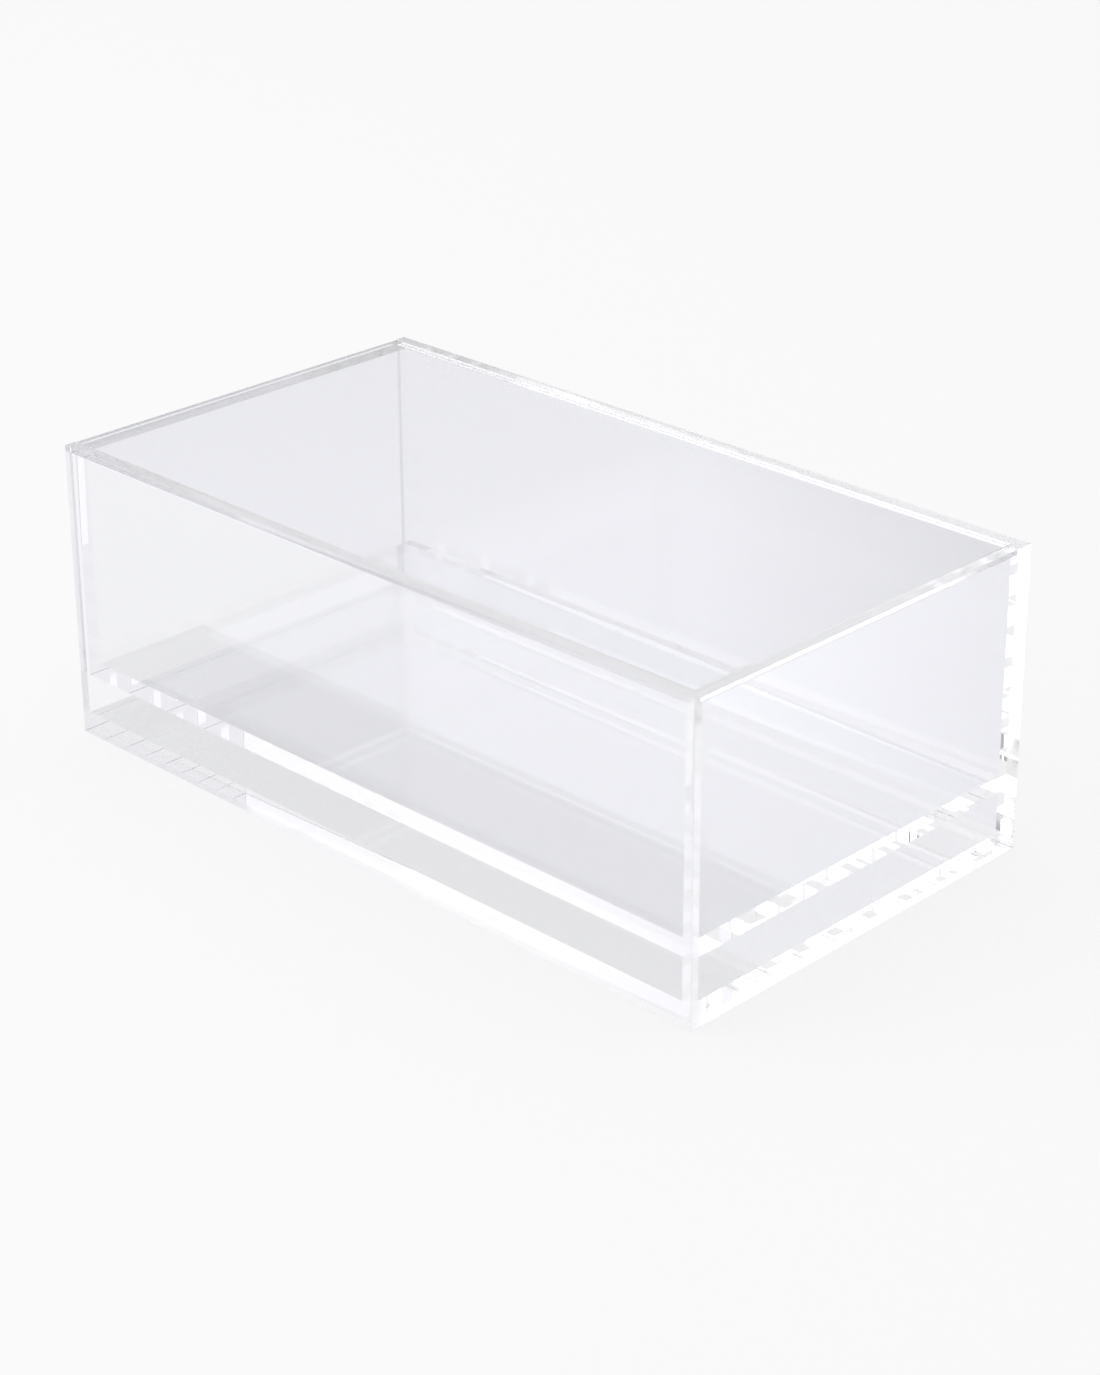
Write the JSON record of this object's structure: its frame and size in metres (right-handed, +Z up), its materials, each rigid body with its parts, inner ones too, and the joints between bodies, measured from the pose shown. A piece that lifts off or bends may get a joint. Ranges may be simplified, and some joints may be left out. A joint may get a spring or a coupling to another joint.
{
  "type": "acrylic storage box with sliding lid",
  "caption": "Clear acrylic storage box with a compartment under a flush sliding lid and a shallow open-ended slot beneath its raised floor.",
  "frame": {"origin": "centre of the underside, on the surface the box stands on", "axes": "+X along the length towards the closed end of the slot, +Y towards the back, +Z up"},
  "size_m": [0.27, 0.147, 0.101],
  "materials": {
    "acrylic_walls": "clear cast acrylic, polished faces and edges",
    "acrylic_floors": "clear cast acrylic, polished faces and edges",
    "acrylic_lid": "clear cast acrylic, polished faces and edges"
  },
  "bodies": {
    "box": {"front_wall": "acrylic_walls", "back_wall": "acrylic_walls", "left_end_wall": "acrylic_walls", "right_end_wall": "acrylic_walls", "raised_floor": "acrylic_floors", "base_plate": "acrylic_floors"},
    "lid": {"lid": "acrylic_lid"}
  },
  "joints": [
    {"name": "lid_slide", "type": "slide", "parent": "box", "child": "lid", "axis": [-1, 0, 0], "range_m": [0, 0.27]}
  ]
}
